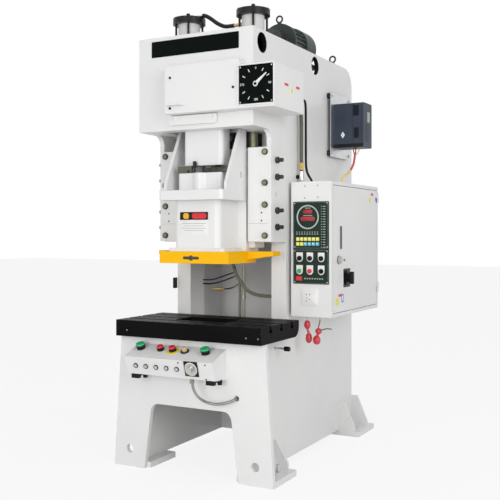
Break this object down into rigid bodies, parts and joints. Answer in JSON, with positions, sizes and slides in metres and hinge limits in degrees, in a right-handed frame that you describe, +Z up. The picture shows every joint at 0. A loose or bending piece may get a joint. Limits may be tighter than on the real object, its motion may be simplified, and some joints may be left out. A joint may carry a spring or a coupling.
{
  "type": "mechanical stamping press",
  "caption": "Gap-frame mechanical press: bolster with T-slots, guided slide driven by a crank, gear and flywheel, two-hand console and electric cabinet.",
  "frame": {"origin": "on the floor at the centre of the four anchor holes in the feet", "axes": "+X to the operator's right, +Y from the operator to the back, +Z up"},
  "size_m": [1.2923, 1.82, 2.8729],
  "materials": {
    "frame_paint": "light grey enamel, semi gloss",
    "slide_paint": "white enamel, semi gloss",
    "cabinet_paint": "grey powder coat",
    "bolster_black": "black oil-finished plate",
    "safety_yellow": "safety yellow enamel",
    "dark_steel": "oiled dark steel",
    "machined_steel": "ground steel",
    "black_paint": "black enamel",
    "dial_black": "black dial with white rim",
    "pointer_red": "white pointer",
    "belt_rubber": "moulded rubber",
    "motor_paint": "dark green-grey enamel",
    "panel_green": "dark green panel film",
    "inverter_blue": "dark blue-grey housing",
    "galvanised": "zinc-plated sheet",
    "conduit_black": "black flexible conduit",
    "red_plastic": "red moulded plastic",
    "green_plastic": "green moulded plastic",
    "black_plastic": "black moulded plastic",
    "chrome_trim": "polished"
  },
  "bodies": {
    "frame": {"side_plate_left": "frame_paint", "side_plate_right": "frame_paint", "base_front_plate": "frame_paint", "bed_plate": "frame_paint", "throat_columns": "frame_paint", "back_plate": "frame_paint", "crown_front_plate": "frame_paint", "crown_floor": "frame_paint", "crown_top_plate": "frame_paint", "feet": "frame_paint", "bolster": "bolster_black", "front_cover": "frame_paint", "cam_box": "frame_paint", "dial_plate": "dial_black", "rod_guard": "slide_paint", "gibs": "frame_paint", "guide_bolts": "dark_steel", "balance_cylinders": "black_paint", "motor": "motor_paint", "drive_belts": "belt_rubber", "cam_chain": "dark_steel", "rear_cover": "frame_paint", "cabinet": "cabinet_paint", "control_panel": "panel_green", "inverter": "inverter_blue", "inverter_plate": "galvanised", "console": "frame_paint", "riser_conduit": "conduit_black", "console_conduit": "conduit_black", "air_lines": "conduit_black", "inverter_cable": "conduit_black", "eye_bolts": "dark_steel", "levelling_bolts": "dark_steel", "spare_plugs": "red_plastic"},
    "crank": {"crankshaft": "machined_steel", "bull_gear": "dark_steel"},
    "pointer": {"dial_pointer": "pointer_red", "cam_shaft": "machined_steel"},
    "pinion": {"pinion_shaft": "machined_steel"},
    "flywheel": {"flywheel": "dark_steel"},
    "motor_rotor": {"motor_pulley": "dark_steel"},
    "slide": {"slide": "slide_paint", "slide_plate": "safety_yellow", "balance_rods": "machined_steel"},
    "conrod": {"connecting_rod": "dark_steel", "ball_screw": "machined_steel"},
    "door": {"cabinet_door": "cabinet_paint"},
    "isolator": {"isolator_switch": "black_plastic"},
    "latch": {"door_latch": "chrome_trim"},
    "selector_left": {"selector_left": "black_plastic"},
    "selector_middle": {"selector_middle": "black_plastic"},
    "selector_right": {"selector_right": "black_plastic"},
    "key_switch": {"key_switch": "black_plastic"},
    "start_button": {"start_button": "green_plastic"},
    "stop_button": {"stop_button": "red_plastic"},
    "palm_left": {"palm_button_left": "green_plastic"},
    "palm_right": {"palm_button_right": "green_plastic"},
    "console_stop": {"console_stop": "red_plastic"},
    "emergency_stop": {"emergency_stop": "red_plastic"},
    "console_switch": {"console_switch": "black_plastic"}
  },
  "joints": [
    {"name": "crank_turn", "type": "hinge", "parent": "frame", "child": "crank", "pos_m": [0, -0.609, 2.31], "axis": [0, 1, 0], "range_deg": [-50, 130]},
    {"name": "pointer_turn", "type": "hinge", "parent": "frame", "child": "pointer", "pos_m": [0.46, -0.7, 2.266], "axis": [0, 1, 0], "range_deg": [-50, 130]},
    {"name": "pinion_turn", "type": "hinge", "parent": "frame", "child": "pinion", "pos_m": [0, -0.275, 2.0475], "axis": [0, 1, 0], "range_deg": [-520, 200]},
    {"name": "slide_stroke", "type": "slide", "parent": "frame", "child": "slide", "axis": [0, 0, -1], "range_m": [-0.0445, 0.1156]},
    {"name": "conrod_swing", "type": "hinge", "parent": "slide", "child": "conrod", "pos_m": [0, -0.609, 1.64], "axis": [0, 1, 0], "range_deg": [-5, 2]},
    {"name": "flywheel_spin", "type": "hinge", "parent": "frame", "child": "flywheel", "pos_m": [0, -0.095, 2.0475], "axis": [0, 1, 0], "continuous": true},
    {"name": "motor_spin", "type": "hinge", "parent": "frame", "child": "motor_rotor", "pos_m": [0.2, -0.095, 2.692], "axis": [0, 1, 0], "continuous": true},
    {"name": "door_swing", "type": "hinge", "parent": "frame", "child": "door", "pos_m": [0.6966, 0.508, 1.332], "axis": [0, 0, 1], "range_deg": [0, 120]},
    {"name": "isolator_turn", "type": "hinge", "parent": "door", "child": "isolator", "pos_m": [0.689, -0.062, 1.15], "axis": [1, 0, 0], "range_deg": [0, 90]},
    {"name": "latch_turn", "type": "hinge", "parent": "door", "child": "latch", "pos_m": [0.689, -0.188, 1.265], "axis": [1, 0, 0], "range_deg": [0, 90]},
    {"name": "selector_left_turn", "type": "hinge", "parent": "frame", "child": "selector_left", "pos_m": [0.48, -0.306, 1.276], "axis": [0, 1, 0], "range_deg": [0, 60]},
    {"name": "selector_middle_turn", "type": "hinge", "parent": "frame", "child": "selector_middle", "pos_m": [0.549, -0.306, 1.276], "axis": [0, 1, 0], "range_deg": [-30, 30]},
    {"name": "selector_right_turn", "type": "hinge", "parent": "frame", "child": "selector_right", "pos_m": [0.624, -0.306, 1.276], "axis": [0, 1, 0], "range_deg": [-60, 0]},
    {"name": "key_turn", "type": "hinge", "parent": "frame", "child": "key_switch", "pos_m": [0.624, -0.306, 1.198], "axis": [0, 1, 0], "range_deg": [-45, 45]},
    {"name": "start_press", "type": "slide", "parent": "frame", "child": "start_button", "axis": [0, 1, 0], "range_m": [0, 0.005], "stiffness_N_per_m": 1000, "springref_m": -0.004},
    {"name": "stop_press", "type": "slide", "parent": "frame", "child": "stop_button", "axis": [0, 1, 0], "range_m": [0, 0.005], "stiffness_N_per_m": 1000, "springref_m": -0.004},
    {"name": "palm_left_press", "type": "slide", "parent": "frame", "child": "palm_left", "axis": [0, 0.3538, -0.9353], "range_m": [0, 0.006], "stiffness_N_per_m": 1000, "springref_m": -0.004},
    {"name": "palm_right_press", "type": "slide", "parent": "frame", "child": "palm_right", "axis": [0, 0.3538, -0.9353], "range_m": [0, 0.006], "stiffness_N_per_m": 1000, "springref_m": -0.004},
    {"name": "console_stop_press", "type": "slide", "parent": "frame", "child": "console_stop", "axis": [0, 0.3538, -0.9353], "range_m": [0, 0.005], "stiffness_N_per_m": 1000, "springref_m": -0.004},
    {"name": "emergency_press", "type": "slide", "parent": "frame", "child": "emergency_stop", "axis": [0, 0.3538, -0.9353], "range_m": [0, 0.005]},
    {"name": "console_switch_turn", "type": "hinge", "parent": "frame", "child": "console_switch", "pos_m": [0.1, -0.94871, 0.65896], "axis": [0, -0.9573, -0.289], "range_deg": [-45, 45]}
  ],
  "couplings": [
    {"joint": "pointer_turn", "follows": "crank_turn", "ratio": 1},
    {"joint": "pinion_turn", "follows": "crank_turn", "ratio": -4},
    {"joint": "slide_stroke", "follows": "crank_turn", "m_per_rad": 0.05093},
    {"joint": "conrod_swing", "follows": "crank_turn", "ratio": -0.0374},
    {"joint": "motor_spin", "follows": "flywheel_spin", "ratio": 4.5714}
  ]
}
